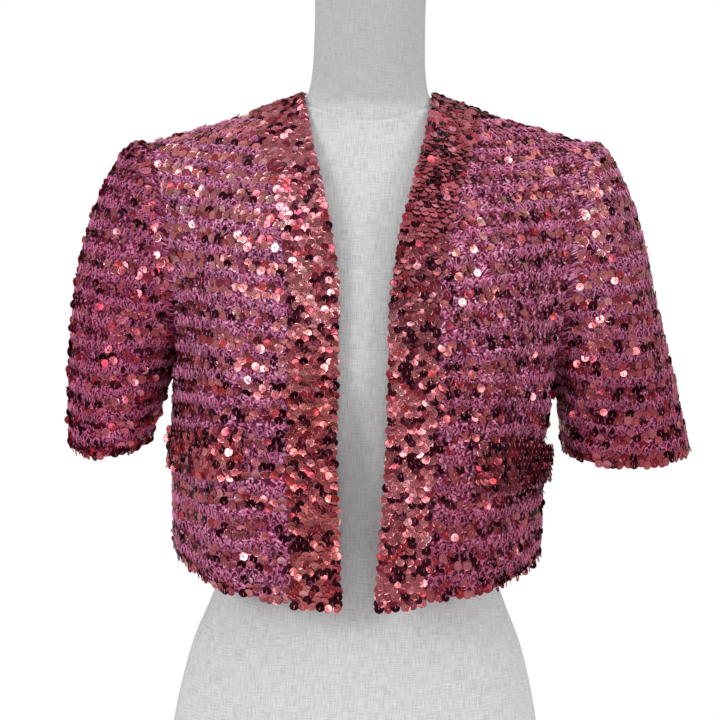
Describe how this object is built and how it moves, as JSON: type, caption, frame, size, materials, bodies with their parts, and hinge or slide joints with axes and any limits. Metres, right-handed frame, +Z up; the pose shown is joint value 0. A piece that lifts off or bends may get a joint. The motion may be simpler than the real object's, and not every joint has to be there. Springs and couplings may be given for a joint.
{
  "type": "sequined knit bolero jacket on a limbless dress form",
  "caption": "Open collarless knit jacket with short set-in sleeves, rows of rose sequins, dense sequin edge bands and pocket welts, hung on a limbless linen dress form with a flat base",
  "frame": {"origin": "on the surface the dress form stands on, under the middle of the bounding box", "axes": "+Z up along the dress form's neck, the jacket's open front faces -Y, +X is to the viewer's right seen from the front, which is the wearer's left"},
  "size_m": [0.544, 0.2385, 0.775],
  "materials": {
    "sequined_knit": "openwork pink and purple metallic-thread knit with rows of rose sequins",
    "sequin_band": "overlapping metallic rose sequins sewn on knit",
    "form_linen": "matt off-white linen weave"
  },
  "bodies": {
    "root": {"front_left": "sequined_knit", "front_right": "sequined_knit", "back": "sequined_knit", "sleeve_left": "sequined_knit", "sleeve_right": "sequined_knit", "band_front_left": "sequin_band", "band_front_right": "sequin_band", "band_neck": "sequin_band", "pocket_welt_left": "sequin_band", "pocket_welt_right": "sequin_band", "form_torso": "form_linen"}
  },
  "joints": []
}
